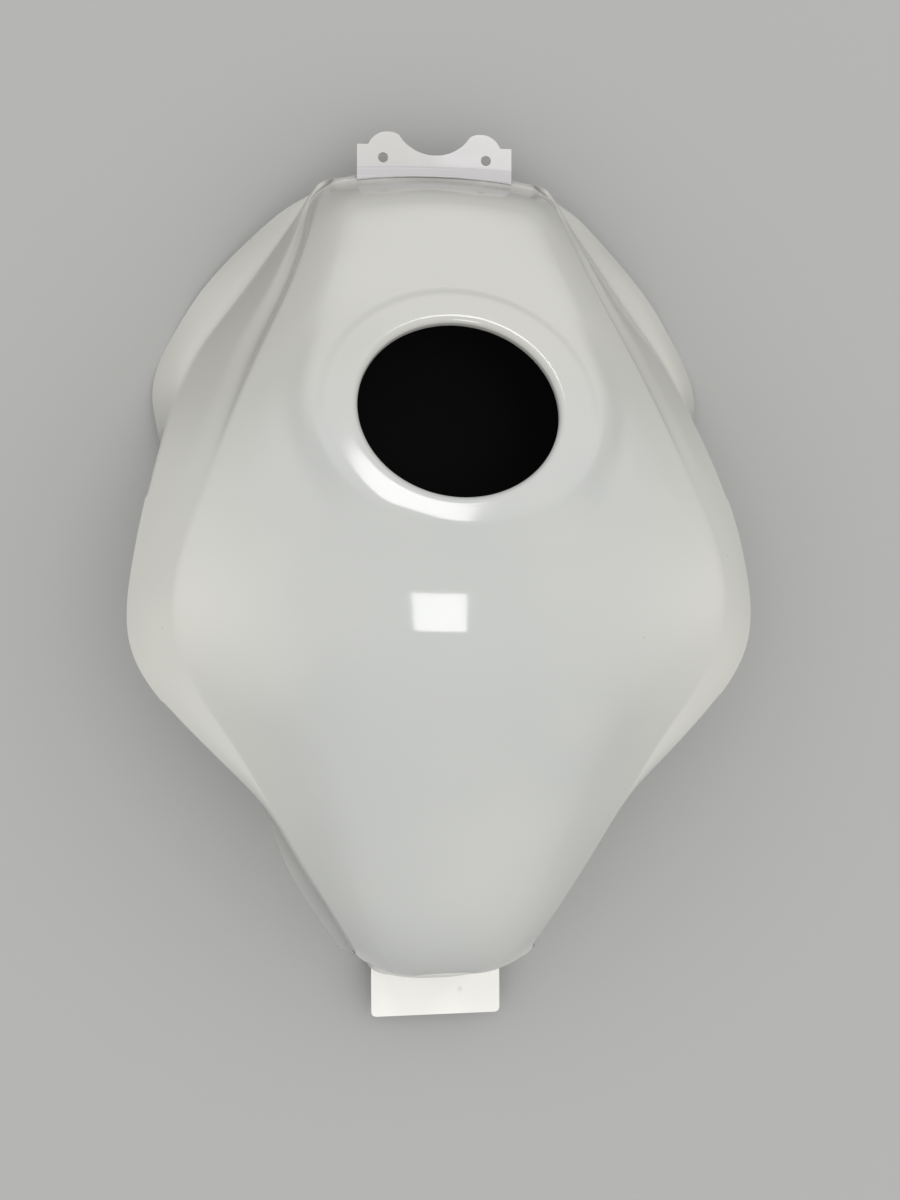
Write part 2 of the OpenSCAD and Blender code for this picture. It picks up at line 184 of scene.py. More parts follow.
# Filler opening. The collar stands on a step at the front, and runs into the surface at the rear.
FILLER_FORWARD = 99
TILT_REACH = 30
OPENING_BLOCK = (192, 6)
COLLAR_REAR_CUT = 6
STEP_FADE = (-0.3, 0.05)
REAR_CUT_START = 0.75
COLLAR_FAIRING = 22
COLLAR_FAIRING_REAR = 10
COLLAR_LEAD = 5
# Rings from the block to the lip: shares of the way to the lead-in ring, distances outside the
# collar's edge, (distance inside it, drop) at its edge, and shares of the way across the flat.
LEAD_IN_SHARES = (0.3, 0.45, 1.0)
STEP_FOOT_RINGS = (3.8, 2.2)
STEP_TOP_RINGS = ((2.2, 0.03), (4, 0))
FLAT_SHARES = (0.45, 0.75, 1)
# Rounding of the lip, the rings on it, and a quarter circle for its lower corners.
LIP_ROUND = 4.5
LIP_ROUND_DEPTH = 3
LIP_RINGS = (2, 1.2, 0.5, 0.1, 0)
LIP_CORNER = ((0, 1), (0.13, 0.5), (0.5, 0.13), (1, 0))
# How near the rim a point lies that belongs to it, and how far under its top the upper loop goes.
RIM_ROOM = 1.2
UPPER_RIM_ROOM = 0.6
RIM_ANGLE = radians(55)


def clamp01(value):
    return min(1.0, max(0.0, value))


def smooth(value):
    c = clamp01(value)
    return c * c * (3 - 2 * c)


def mix(a, b, share):
    return a + (b - a) * share


def hermite(knots, y):
    """Point of a line of knots at the place y, on a smooth curve, without the place itself."""
    last = len(knots) - 1
    i = min(last - 1, max(0, sum(1 for k in knots if k[0] >= y) - 1))
    a, b = knots[i], knots[i + 1]
    span = b[0] - a[0]
    t = clamp01((y - a[0]) / span)

    def slope(n):
        before, after = knots[max(0, n - 1)], knots[min(last, n + 1)]
        return [(after[k] - before[k]) / (after[0] - before[0]) * span for k in range(1, len(a))]

    weights = (2 * t**3 - 3 * t**2 + 1, t**3 - 2 * t**2 + t, 3 * t**2 - 2 * t**3, t**3 - t**2)
    parts = (a[1:], slope(i), b[1:], slope(i + 1))
    return [sum(w * p[k] for w, p in zip(weights, parts)) for k in range(len(a) - 1)]


def faired(knots, y):
    """The same point, averaged over a short stretch so that reflections run evenly."""
    room = min(abs(knots[0][0] - y), abs(y - knots[-1][0]))
    reach = min(FAIRING_REACH, FAIRING_SHARE * room)
    found = [(weight, hermite(knots, y + reach * place)) for place, weight in FAIRING_POINTS]
    total = sum(weight for place, weight in FAIRING_POINTS)
    return [sum(w * f[k] for w, f in found) / total for k in range(len(knots[0]) - 1)]


def on_line(knots, y):
    x, z = faired(knots, y)
    return Vector((x, y, z))


def share_at(knots, y):
    return faired(knots, y)[0]


def crown_z(x, y):
    """Height of the top surface at a plan place, without the collar."""
    centre, crease, shoulder = (on_line(k, y) for k in (CENTRE_LINE, CREASE_LINE, SHOULDER_LINE))
    d = abs(x)
    width = shoulder.x - crease.x
    slope_inside = 2 * (crease.z - centre.z) / crease.x
    slope_outside = (1 - CHAMFER_BOW) * (shoulder.z - crease.z) / width
    half = min(share_at(CREASE_ROUND, y), ROUND_ROOM * width)
    away = max(0, half - abs(d - crease.x))
    rounded = (slope_outside - slope_inside) * away**2 / (4 * half)
    if d <= crease.x:
        return mix(centre.z, crease.z, (d / crease.x) ** 2) + rounded
    t = (d - crease.x) / width
    return mix(crease.z, shoulder.z, (1 - CHAMFER_BOW) * t + CHAMFER_BOW * t * t) + rounded


FILLER_TILT = atan2(
    crown_z(0, FILLER_FORWARD - TILT_REACH) - crown_z(0, FILLER_FORWARD + TILT_REACH), 2 * TILT_REACH
)
FILLER_CENTRE = Vector((0, FILLER_FORWARD, crown_z(0, FILLER_FORWARD)))
FILLER_AXIS = Vector((0, sin(FILLER_TILT), cos(FILLER_TILT)))


def on_collar(radius, angle, rise=0.0):
    """Point of the opening's plane, at a radius and an angle around its axis."""
    flat = Vector((cos(angle), sin(angle) * cos(FILLER_TILT), -sin(angle) * sin(FILLER_TILT)))
    return FILLER_CENTRE + radius * flat + rise * FILLER_AXIS


def angle_on_collar(point):
    away = point - FILLER_CENTRE
    return atan2(away.y / cos(FILLER_TILT), away.x)


def collar_edge(angle, shell):
    """Radius of the flat collar, which is cut back a little behind the opening."""
    behind = smooth((-sin(angle) - REAR_CUT_START) / (1 - REAR_CUT_START))
    return shell.collar_diameter / 2 / MM - COLLAR_REAR_CUT * behind


def collar_step(angle, shell):
    """Height of the collar's step, which fades out towards the rear."""
    return shell.collar_rise / MM * smooth((sin(angle) - STEP_FADE[0]) / (STEP_FADE[1] - STEP_FADE[0]))


def skin_z(x, y, shell):
    """Height of the top surface outside the collar, drawn up to the collar's edge around it."""
    along = (y - FILLER_FORWARD) / cos(FILLER_TILT)
    angle = atan2(along, x)
    fairing = mix(COLLAR_FAIRING, COLLAR_FAIRING_REAR, smooth(-sin(angle)))
    near = 1 - smooth((hypot(x, along) - collar_edge(angle, shell)) / fairing)
    foot = (shell.collar_rise / MM - collar_step(angle, shell)) / cos(FILLER_TILT)
    plane = FILLER_CENTRE.z - (y - FILLER_FORWARD) * tan(FILLER_TILT) + foot
    return mix(crown_z(x, y), plane, near)


def lip_drop(inset):
    """Drop of the rounded lip below the collar, at a distance outside the opening."""
    return LIP_ROUND_DEPTH * (1 - sqrt(1 - (1 - inset / LIP_ROUND) ** 2))


def reach_of(column):
    band, share = COLUMNS[column]
    start, end = BAND_REACH[band]
    return mix(start, end, share)


def row_y(row, reach):
    """Place of a row, at a reach across the half."""
    y = ROWS[row]
    front = clamp01((y - FRONT_BOW_START) / (ROWS[0] - FRONT_BOW_START))
    rear = clamp01((REAR_BOW_START - y) / (REAR_BOW_START - ROWS[-1]))
    if reach <= 1:
        bowed = FRONT_BOW_AT_SHOULDER * smooth(reach)
    else:
        bowed = mix(FRONT_BOW_AT_SHOULDER, 1, reach - 1)
    return y - FRONT_BOW * front**2 * bowed + REAR_BOW * rear**1.5 * min(1, reach) ** 3


def crowned(place):
    """Rise of the flank's crown, at a share of the way from the shoulder to the flank line."""
    return Vector((0, 0, 4 * FLANK_CROWN * place * (1 - place)))


def rolled_z(row, x, y, share, shell):
    """Height on the chamfer, which follows its two edge lines along the rear edge."""
    rolled = smooth((ROLL_START - ROWS[row]) / (ROLL_START - ROWS[-1]))
    crease = on_line(CREASE_LINE, row_y(row, BAND_REACH["chamfer"][0]))
    shoulder = on_line(SHOULDER_LINE, row_y(row, 1))
    return mix(skin_z(x, y, shell), mix(crease.z, shoulder.z, share), rolled)


def half_point(row, column, shell):
    """Point of the right half of the outer surface."""
    band, share = COLUMNS[column]
    y = row_y(row, reach_of(column))
    shoulder = on_line(SHOULDER_LINE, y)
    flank = on_line(FLANK_LINE, y)
    if band in ("crown", "chamfer"):
        crease = on_line(CREASE_LINE, y)
        if band == "crown":
            return Vector((crease.x * share, y, skin_z(crease.x * share, y, shell)))
        x = mix(crease.x, shoulder.x, share)
        return Vector((x, y, rolled_z(row, x, y, share, shell)))

    width, depth = faired(STEP_WALL, y)
    foot = shoulder + Vector((width, 0, -depth))
    smooth_foot = mix(shoulder, flank, STEP_END) + crowned(STEP_END)
    foot = mix(smooth_foot, foot, share_at(STEP_SHARE, y))
    if band == "step":
        return mix(shoulder, foot, share)
    raised = share_at(LEDGE_SHARE, y) * LEDGE_OFFSET
    if band == "ledge":
        place = share * LEDGE_END
        return mix(foot, flank, place) + crowned(place) + share * raised
    if band == "flank":
        place = mix(LEDGE_END, 1, share)
        return mix(foot, flank, place) + crowned(place) + (1 - share) * raised
    rear = clamp01((REAR_BOW_START - ROWS[row]) / (REAR_BOW_START - ROWS[-1]))
    hem = on_line(HEM_LINE, y - REAR_FLARE * rear**2)
    bent = share ** share_at(HEM_BEND, y)
    height = max(0, mix(flank.z, hem.z, share))
    return Vector((mix(flank.x, hem.x, bent), mix(flank.y, hem.y, bent), height))


def build_half_grid(shell):
    columns = range(len(COLUMNS))
    return [[half_point(row, column, shell) for column in columns] for row in range(len(ROWS))]


def grid_point(grid, row, column):
    point = grid[row][abs(column)].copy()
    point.x = -point.x if column < 0 else point.x
    return point


def wall_point(grid, level, column):
    """Point of the rear wall. Level 0 is the last row, and the last level is the wall's foot."""
    side = grid[-1][SHOULDER_COLUMN + level]
    corner = grid[-1][SHOULDER_COLUMN]
    sign = -1 if column < 0 else 1
    if abs(column) == SHOULDER_COLUMN:
        return Vector((sign * side.x, side.y, side.z))
    top = grid_point(grid, -1, column)
    reach = reach_of(abs(column))
    back = (corner.y - side.y) * (1 + WALL_BULGE * (1 - reach**2))
    height = corner.z - grid[-1][HEM_COLUMN].z
    down = (corner.z - side.z) / height
    last_down = (corner.z - grid[-1][HEM_COLUMN - 1].z) / height
    pocket_down = min(1, down / last_down)
    if abs(column) > POCKET_COLUMN:
        outward = (abs(column) - POCKET_COLUMN - 1) / (SHOULDER_COLUMN - POCKET_COLUMN - 1)
        foot_x = mix(POCKET_HALF + POCKET_WALL, side.x, outward)
        x = mix(abs(top.x) + side.x - corner.x, foot_x, pocket_down)
        return Vector((sign * x, top.y - back, mix(top.z, side.z, down)))
    x = mix(top.x, POCKET_HALF * column / POCKET_COLUMN, pocket_down)
    y = LAND_Y if level == WALL_LEVELS else top.y - back
    return Vector((x, y, mix(top.z, TONGUE_TOP, pocket_down)))


# ---------------------------------------------------------------- modelling helpers


def deselect_all():
    for obj in bpy.context.selected_objects:
        obj.select_set(False)


def name_piece(obj, name, slot, *nodes):
    """Names a finished piece, puts it on the cover's body and lets it stand for its nodes."""
    obj.name = name
    obj.data.name = name
    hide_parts(*nodes)
    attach(obj, "root")


def edit_mesh(obj):
    return bmesh.from_edit_mesh(obj.data)


def select_only(obj, kind, wanted):
    """Selects the wanted edges or faces of the mesh that is being edited, and nothing else."""
    bpy.ops.mesh.select_all(action="DESELECT")
    for item in getattr(edit_mesh(obj), kind):
        if wanted(item):
            item.select_set(True)
    bmesh.update_edit_mesh(obj.data)


def apply_modifier(obj, kind, name, **values):
    modifier = obj.modifiers.new(name, kind)
    for key, value in values.items():
        setattr(modifier, key, value)
    bpy.ops.object.modifier_apply(modifier=modifier.name)


def extrude_loop(obj, place):
    """Extrudes the selected edges and puts each new point where place() says."""
    bpy.ops.mesh.extrude_edges_indiv()
    mesh = edit_mesh(obj)
    for vertex in mesh.verts:
        if vertex.select:
            vertex.co = place(vertex)
    bmesh.update_edit_mesh(obj.data)


# ---------------------------------------------------------------- shell


def add_shell_sheet(grid):
    """A grid whose points lie on the outer surface, with the block around the opening cut out."""
    columns, rows = 2 * HEM_COLUMN, len(ROWS) - 1
    bpy.ops.mesh.primitive_grid_add(x_subdivisions=columns, y_subdivisions=rows, size=1)
    obj = bpy.context.object
    bpy.ops.object.mode_set(mode="EDIT")
    bpy.ops.mesh.select_mode(type="VERT")
    mesh = edit_mesh(obj)
    row_of = mesh.verts.layers.int.new("row")
    column_of = mesh.verts.layers.int.new("column")
    for vertex in mesh.verts:
        vertex[row_of] = round((0.5 - vertex.co.y) * rows)
        vertex[column_of] = round(vertex.co.x * columns)
        vertex.co = MM * grid_point(grid, vertex[row_of], vertex[column_of])
    block = [i for i, y in enumerate(ROWS) if OPENING_BLOCK[1] < y < OPENING_BLOCK[0]]

    def in_block(face):
        return all(
            block[0] <= v[row_of] <= block[-1] and abs(v[column_of]) <= CREASE_COLUMN for v in face.verts
        )

    bmesh.update_edit_mesh(obj.data)
    select_only(obj, "faces", in_block)
    bpy.ops.mesh.delete(type="FACE")
    return obj


def grid_layers(obj):
    layers = edit_mesh(obj).verts.layers.int
    return layers["row"], layers["column"]


def add_collar(obj, shell):
    """Closes the block with rings: on the surface, over the collar's step and to the lip."""
    row_of, column_of = grid_layers(obj)

    def at_opening(edge):
        return edge.is_boundary and all(
            0 < v[row_of] < len(ROWS) - 1 and abs(v[column_of]) <= CREASE_COLUMN for v in edge.verts
        )

    select_only(obj, "edges", at_opening)
    rise = shell.collar_rise / MM
    opening = shell.opening_diameter / 2 / MM

    def around(vertex):
        """Angle of a point around the opening, and the radius of the collar's edge there."""
        angle = angle_on_collar(vertex.co / MM)
        return angle, collar_edge(angle, shell)

    def on_surface(point):
        return Vector((point.x, point.y, skin_z(point.x, point.y, shell)))

    def lead_in(vertex, share):
        angle, edge = around(vertex)
        return on_surface(mix(vertex.co / MM, on_collar(edge + COLLAR_LEAD, angle), share))

    def step_foot(vertex, outset):
        angle, edge = around(vertex)
        return on_surface(on_collar(edge + outset, angle))

    def flat(vertex, share, inset=0, drop=0):
        angle, edge = around(vertex)
        return on_collar(mix(edge - inset, opening + LIP_ROUND, share), angle, rise - drop)

    def lip(vertex, inset):
        return on_collar(opening + inset, around(vertex)[0], rise - lip_drop(inset))

    rings = [(lead_in, share) for share in LEAD_IN_SHARES]
    rings += [(step_foot, outset) for outset in STEP_FOOT_RINGS]
    rings += [(flat, 0, inset, drop) for inset, drop in STEP_TOP_RINGS]
    rings += [(flat, share) for share in FLAT_SHARES]
    rings += [(lip, shell.wall / MM)]
    for place, *numbers in rings:
        extrude_loop(obj, lambda vertex: MM * place(vertex, *numbers))


def add_rear_wall(obj, grid):
    """Takes the last row down to the wall's foot, and over the tongue to the land."""
    row_of, column_of = grid_layers(obj)

    def at_rear(edge):
        return edge.is_boundary and all(
            v[row_of] == len(ROWS) - 1 and abs(v[column_of]) <= SHOULDER_COLUMN for v in edge.verts
        )

    select_only(obj, "edges", at_rear)
    for level in range(1, WALL_LEVELS + 1):
        extrude_loop(obj, lambda v: MM * wall_point(grid, level, v[grid_layers(obj)[1]]))
    bpy.ops.mesh.select_all(action="SELECT")
    bpy.ops.mesh.remove_doubles(threshold=0.00002)


def face_outwards(obj):
    bpy.ops.mesh.select_all(action="SELECT")
    bpy.ops.mesh.normals_make_consistent(inside=False)
    mesh = edit_mesh(obj)
    top = max(mesh.faces, key=lambda face: face.calc_center_median().z)
    if top.normal.z < 0:
        bpy.ops.mesh.flip_normals()


def thicken(obj, shell):
    """Gives the sheet its wall. The inner side is smoothed where it folds behind tight steps."""
    for name in ("inner", "rim"):
        obj.vertex_groups.new(name=name)
    apply_modifier(
        obj, "SOLIDIFY", "wall", thickness=shell.wall, offset=-1, use_even_offset=True,
        thickness_clamp=1.2, shell_vertex_group="inner", rim_vertex_group="rim", material_offset=1,
    )
    inner = obj.vertex_groups["inner"].index
    rim = obj.vertex_groups["rim"].index
    bpy.ops.object.mode_set(mode="EDIT")
    mesh = edit_mesh(obj)
    groups = mesh.verts.layers.deform.verify()
    bpy.ops.mesh.select_all(action="DESELECT")
    for vertex in mesh.verts:
        vertex.select_set(inner in vertex[groups] and rim not in vertex[groups])
    mesh.select_flush_mode()
    bmesh.update_edit_mesh(obj.data)
    bpy.ops.mesh.vertices_smooth(factor=0.5, repeat=shell.inner_smoothing)
    mesh = edit_mesh(obj)
    for vertex in mesh.verts:
        vertex.co.z = max(0, vertex.co.z)
    bmesh.update_edit_mesh(obj.data)
    bpy.ops.object.mode_set(mode="OBJECT")
    obj.vertex_groups.clear()
    bpy.ops.object.mode_set(mode="EDIT")


def add_lip(obj, shell):
    """Turns the collar's inner edge down into a lip, round at its top and bottom."""
    opening = shell.opening_diameter / 2 / MM
    wall = shell.wall / MM
    rise = shell.collar_rise / MM
    depth = shell.lip_depth / MM

    def height_of(vertex):
        return (vertex.co / MM - FILLER_CENTRE).dot(FILLER_AXIS)

    def radius_of(vertex):
        away = vertex.co / MM - FILLER_CENTRE
        return (away - away.dot(FILLER_AXIS) * FILLER_AXIS).length

    def near_rim(vertex):
        return abs(radius_of(vertex) - opening - wall) < RIM_ROOM

    def at_rim(vertex):
        return near_rim(vertex) and -2 * wall < height_of(vertex) < rise + 1

    def at_open_rim(edge):
        return len(edge.link_faces) == 1 and all(near_rim(v) for v in edge.verts)

    def at_upper_rim(edge):
        return at_open_rim(edge) and all(
            at_rim(v) and height_of(v) > rise - UPPER_RIM_ROOM for v in edge.verts
        )

    select_only(obj, "faces", lambda face: all(at_rim(v) for v in face.verts))
    bpy.ops.mesh.delete(type="FACE")
    select_only(obj, "edges", at_upper_rim)
    top, bottom = rise, rise - depth
    profile = [(opening + inset, top - lip_drop(inset)) for inset in LIP_RINGS]
    profile += [(opening + inset, bottom + height) for inset, height in LIP_CORNER]
    profile += [(opening + wall - inset, bottom + height) for inset, height in reversed(LIP_CORNER)]
    for radius, height in profile:
        extrude_loop(obj, lambda v: MM * on_collar(radius, angle_on_collar(v.co / MM), height))
    select_only(obj, "edges", at_open_rim)
    bpy.ops.mesh.bridge_edge_loops()


def round_rim(obj, shell):
    """Rounds both edges of the shell's free rim, all along the hem, the front and the rear wall."""
    reach = shell.collar_diameter / 2 / MM

    def at_free_rim(edge):
        return (
            edge.is_manifold
            and edge.calc_face_angle_signed() > RIM_ANGLE
            and all((v.co / MM - FILLER_CENTRE).length > reach for v in edge.verts)
        )

    select_only(obj, "edges", at_free_rim)
    bpy.ops.mesh.bevel(offset=shell.edge_radius, segments=2, affect="EDGES", clamp_overlap=True)


def model_shell(shell):
    grid = build_half_grid(shell)
    deselect_all()
    obj = add_shell_sheet(grid)
    obj.data.materials.append(gloss_plastic(shell))
    obj.data.materials.append(inner_side(shell))
    add_collar(obj, shell)
    add_rear_wall(obj, grid)
    face_outwards(obj)
    bpy.ops.object.mode_set(mode="OBJECT")
    thicken(obj, shell)
    add_lip(obj, shell)
    bpy.ops.mesh.select_all(action="SELECT")
    bpy.ops.mesh.normals_make_consistent(inside=False)
    round_rim(obj, shell)
    bpy.ops.object.mode_set(mode="OBJECT")
    apply_modifier(obj, "SUBSURF", "smooth", levels=1, render_levels=1)
    bpy.ops.object.shade_smooth()
    return obj


# ---------------------------------------------------------------- bracket and tongue


def copy_of_node(node, cell):
    """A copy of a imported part's mesh, merged and remeshed into even small cells."""
    deselect_all()
    obj = bpy.data.objects.new(node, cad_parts[node].data.copy())
    bpy.context.scene.collection.objects.link(obj)
    bpy.context.view_layer.objects.active = obj
    obj.select_set(True)
    bpy.ops.object.mode_set(mode="EDIT")
    bpy.ops.mesh.select_all(action="SELECT")
    bpy.ops.mesh.remove_doubles(threshold=0.00001)
    bpy.ops.object.mode_set(mode="OBJECT")
    obj.data.materials.clear()
    apply_modifier(obj, "REMESH", "cells", mode="VOXEL", voxel_size=cell)
    apply_modifier(obj, "SMOOTH", "round", factor=0.5, iterations=6)
    return obj


def foot_line(x):
    """Place of the bracket's foot line, where its thinner foot begins."""
    return FOOT_LINE - FOOT_BOW * (x / BRACKET_HALF) ** 2


def model_bracket(bracket):
    """The sheet with its thinner foot, and a small sink mark behind each screw hole."""
    obj = copy_of_node("front_bracket", bracket.cell)
    bottom = BRACKET_LOW.z
    foot_end = BRACKET_LOW.y / MM
    for vertex in obj.data.vertices:
        x, y = vertex.co.x / MM, vertex.co.y / MM
        thinned = FOOT_THINNING * smooth((foot_line(x) + FOOT_SLOPE / 2 - y) / FOOT_SLOPE)
        thinned += FOOT_TAPER * smooth((foot_end + FOOT_TAPER_LENGTH - y) / FOOT_TAPER_LENGTH)
        sunk = max(smooth(1 - hypot(x - mark[0], y - mark[1]) / SINK_RADIUS) for mark in SINK_MARKS)
        height = (vertex.co.z - bottom) / (BRACKET_HIGH.z - bottom)
        vertex.co.z -= MM * height * (thinned + SINK_DEPTH * sunk)
    bpy.ops.object.shade_smooth()
    obj.data.materials.append(bracket_plastic(bracket))
    return obj


def model_tongue(tongue):
    obj = copy_of_node("rear_tongue", tongue.cell)
    bpy.ops.object.shade_smooth()
    obj.data.materials.append(tongue_plastic(tongue))
    return obj


# ---------------------------------------------------------------- materials
# Places, distances and heights are in metres here, as materials read them.

# Where the shell's tones change: beside the centre plane, where the sides turn warmer and, as painted
# light, lighter; towards the front; and at the knees, whose walls get painted shade.
SIDE_PLACE = (0.07, 0.19)
SIDE_SHARE = 0.75
FRONT_PLACE = (0.06, 0.15)
KNEE_PLACE = (-0.12, -0.02)
# Painted shade: its colour, how much of it lies in grooves and in hollows, and on walls by how far up
# they face, from 0 for upright to 1 for level, as (low, high, share at the low end).
PAINTED_SHADE_COLOUR = (0.2, 0.184, 0.178)
GROOVE_SHADE = {"amount": 1, "reach": 0.022}
HOLLOW_SHADE = {"amount": 0.6, "reach": 0.06}
KNEE_WALL_SHADE = (0, 0.45, 0.4)
FLANK_WALL_SHADE = (0.35, 0.72, 0.35)
# How much open sky a closed-in spot sees.
CLOSED_IN = (0.6, 1)
DRIFT_PATCHES = (0.35, 0.65)
SPECKS = {"scale": 75, "size": 0.035}
SPECK_TONE = 0.6
SPECK_RARITY = 0.9

# Heights of each skin's slow ripple, orange peel and fine grain, and the scale of their noises.
GLOSS_SKIN = {"ripple": 6e-5, "peel": 3e-6, "grain": 0}
INNER_SKIN = {"ripple": 2e-4, "peel": 2e-5, "grain": 2e-5}
BRACKET_SKIN = {"ripple": 3e-5, "peel": 6e-6, "grain": 3e-6}
TONGUE_SKIN = {"ripple": 5e-5, "peel": 8e-6, "grain": 6e-6}
SKIN_SCALES = {"Ripple": 22, "Peel": 420, "Grain": 1600}

# Wear: the sharpness of edges that rub, and hairline scuffs by their two turns and their stretch.
WORN_EDGES = (0.51, 0.56)
WORN_PATCHES = (0.3, 0.6)
SCUFF_TURNS = (0.5, -0.9)
SCUFF_STRETCH = (1, 28, 6)
SCUFF_WIDTH = (0.66, 0.72)
SCUFF_PATCH_SCALE = 11
SCUFF_PATCHES = (0.45, 0.65)
SCUFF_DEPTH = 4e-6
SCUFF_ROUGHNESS = 0.25
SMEAR_SCALE = 16
SMEARS = (0.4, 0.75)
SMEAR_ROUGHNESS = 1.6

# Bracket: the width over which its tone changes, its left tone, and the uneven line of its foot.
ACROSS_BRACKET = (-0.05, 0.04)
LEFT_TONE = 0.88
FOOT_TONE_AT = MM * (FOOT_LINE + 1.5)
FOOT_TONE_FADE = (-0.0015, 0.0035)
FOOT_STREAKS = (0.1, 1, 6, 1)
FOOT_WANDER = 0.004

# The small smudge on the tongue: its middle, its fade, its share and its ragged edge.
SMUDGE = (0.0166, -0.2776, 0.018)
SMUDGE_FADE = (0.001, 0.0045)
SMUDGE_SHARE = 0.3
SMUDGE_TONE = 0.45
SMUDGE_EDGE = 0.003


class Net:
    """The nodes of one material, group or world, with short ways to add them and to join them."""

    def __init__(self, tree):
        self.tree = tree
        self.nodes = tree.nodes

    def node(self, kind, **settings):
        node = self.nodes.new("ShaderNode" + kind)
        for name, value in settings.items():
            setattr(node, name, value)
        return node

    def join(self, value, socket):
        """Leads another socket's value into a socket, or gives it a fixed one."""
        if isinstance(value, bpy.types.NodeSocket):
            self.tree.links.new(value, socket)
        else:
            socket.default_value = value

    def place(self):
        return self.node("TexCoord").outputs["Object"]

    def math(self, operation, *values):
        node = self.node("Math", operation=operation)
        for socket, value in zip(node.inputs, values):
            self.join(value, socket)
        return node.outputs["Value"]

    def vector(self, operation, vector, other=(0, 0, 0)):
        node = self.node("VectorMath", operation=operation)
        self.join(vector, node.inputs[0])
        self.join(other, node.inputs[1])
        return node.outputs["Value" if operation in ("DISTANCE", "LENGTH") else "Vector"]

    def axes(self, vector):
        node = self.node("SeparateXYZ")
        self.join(vector, node.inputs[0])
        return node.outputs

    def ramp(self, value, low, high, to_low=0, to_high=1):
        """Turns a value between low and high smoothly into one between to_low and to_high."""
        node = self.node("MapRange", interpolation_type="SMOOTHSTEP")
        given = {"Value": value, "From Min": low, "From Max": high, "To Min": to_low, "To Max": to_high}
        for name, number in given.items():
            self.join(number, node.inputs[name])
        return node.outputs["Result"]

    def blend(self, share, first, second):
        """One colour that goes over into another."""
        node = self.node("Mix", data_type="RGBA")
        self.join(share, node.inputs["Factor"])
        for name, value in (("A", first), ("B", second)):
            socket = [i for i in node.inputs if i.name == name and i.type == "RGBA"][0]
            self.join(value if isinstance(value, bpy.types.NodeSocket) else (*value, 1), socket)
        return [o for o in node.outputs if o.type == "RGBA"][0]

    def noise(self, place, scale, detail=2, stretch=None):
        """Noise at a place, which is first turned and stretched by (turn, x, y, z) where given."""
        node = self.node("TexNoise")
        if stretch:
            mapping = self.node("Mapping")
            mapping.inputs["Rotation"].default_value[2] = stretch[0]
            mapping.inputs["Scale"].default_value = stretch[1:]
            self.join(place, mapping.inputs["Vector"])
            place = mapping.outputs["Vector"]
        for name, value in (("Vector", place), ("Scale", scale), ("Detail", detail)):
            self.join(value, node.inputs[name])
        return node.outputs["Fac"]

    def group(self, maker, **values):
        node = self.node("Group", node_tree=shared_group(maker))
        for label, value in values.items():
            node.inputs[label.title()].default_value = value
        return node.outputs["Value"]

    def shader(self, share, first, second):
        """One shader that goes over into another."""
        node = self.node("MixShader")
        for value, socket in zip((share, first, second), node.inputs):
            self.join(value, socket)
        return node.outputs["Shader"]


def scaled(colour, factor):
    return tuple(factor * c for c in colour)


def new_material(name, colour, roughness):
    material = bpy.data.materials.new(name)
    material.use_nodes = True
    net = Net(material.node_tree)
    shader = net.nodes["Principled BSDF"]
    shader.inputs["Base Color"].default_value = (*colour, 1)
    shader.inputs["Roughness"].default_value = roughness
    shader.inputs["IOR"].default_value = 1.5
    return material, net


def tone_drift(net, given):
    """Slow patches, as of ageing and handling."""
    cloud = net.noise(net.place(), given["Scale"])
    return net.math("MULTIPLY", net.ramp(cloud, *DRIFT_PATCHES), given["Amount"])


def edge_wear(net, given):
    """Rubbed spots along the outer edges, broken up by noise."""
    sharpness = net.node("NewGeometry").outputs["Pointiness"]
    cloud = net.noise(net.place(), given["Scale"])
    worn = net.math("MULTIPLY", net.ramp(sharpness, *WORN_EDGES), net.ramp(cloud, *WORN_PATCHES))
    return net.math("MULTIPLY", worn, given["Amount"])


def fine_scuffs(net, given):
    """Fine hairline scuffs in two directions, only in some patches."""
    place = net.place()
    hairs = []
    for turn in SCUFF_TURNS:
        lines = net.noise(place, given["Scale"], 3, (turn, *SCUFF_STRETCH))
        hairs.append(net.ramp(lines, *SCUFF_WIDTH))
    patches = net.ramp(net.noise(place, SCUFF_PATCH_SCALE), *SCUFF_PATCHES)
    found = net.math("MULTIPLY", net.math("MAXIMUM", *hairs), patches)
    return net.math("MULTIPLY", found, given["Amount"])


def moulded_skin(net, given):
    """Height of a moulded skin: slow ripples, orange peel and a fine grain."""
    place = net.place()
    height = 0
    for label, scale in SKIN_SCALES.items():
        waves = net.math("MULTIPLY", net.noise(place, scale, 1), given[label])
        height = net.math("ADD", height, waves)
    return height


def dust_specks(net, given):
    """A few pinhead specks: one cell in many holds one."""
    cells = net.node("TexVoronoi")
    net.join(net.place(), cells.inputs["Vector"])
    net.join(given["Scale"], cells.inputs["Scale"])
    near = net.math("LESS_THAN", cells.outputs["Distance"], given["Size"])
    split = net.node("SeparateColor")
    net.join(cells.outputs["Color"], split.inputs["Color"])
    return net.math("MULTIPLY", near, net.math("GREATER_THAN", split.outputs["Red"], SPECK_RARITY))


def recess_grime(net, given):
    """Painted shade: soft grey in the grooves and folds, where the surface closes in on itself."""
    open_sky = net.node("AmbientOcclusion", only_local=True, samples=12)
    net.join(given["Reach"], open_sky.inputs["Distance"])
    closed = net.ramp(open_sky.outputs["AO"], *CLOSED_IN, 1, 0)
    return net.math("MULTIPLY", closed, given["Amount"])


# Each shared group's inputs with their defaults. A group gives one value, a mask or a height.
SHARED_GROUPS = {
    tone_drift: {"Scale": 9, "Amount": 1},
    edge_wear: {"Amount": 1, "Scale": 60},
    fine_scuffs: {"Amount": 1, "Scale": 40},
    moulded_skin: {label: 0 for label in SKIN_SCALES},
    dust_specks: {"Scale": 120, "Size": 0.05},
    recess_grime: {"Amount": 1, "Reach": 0.012},
}


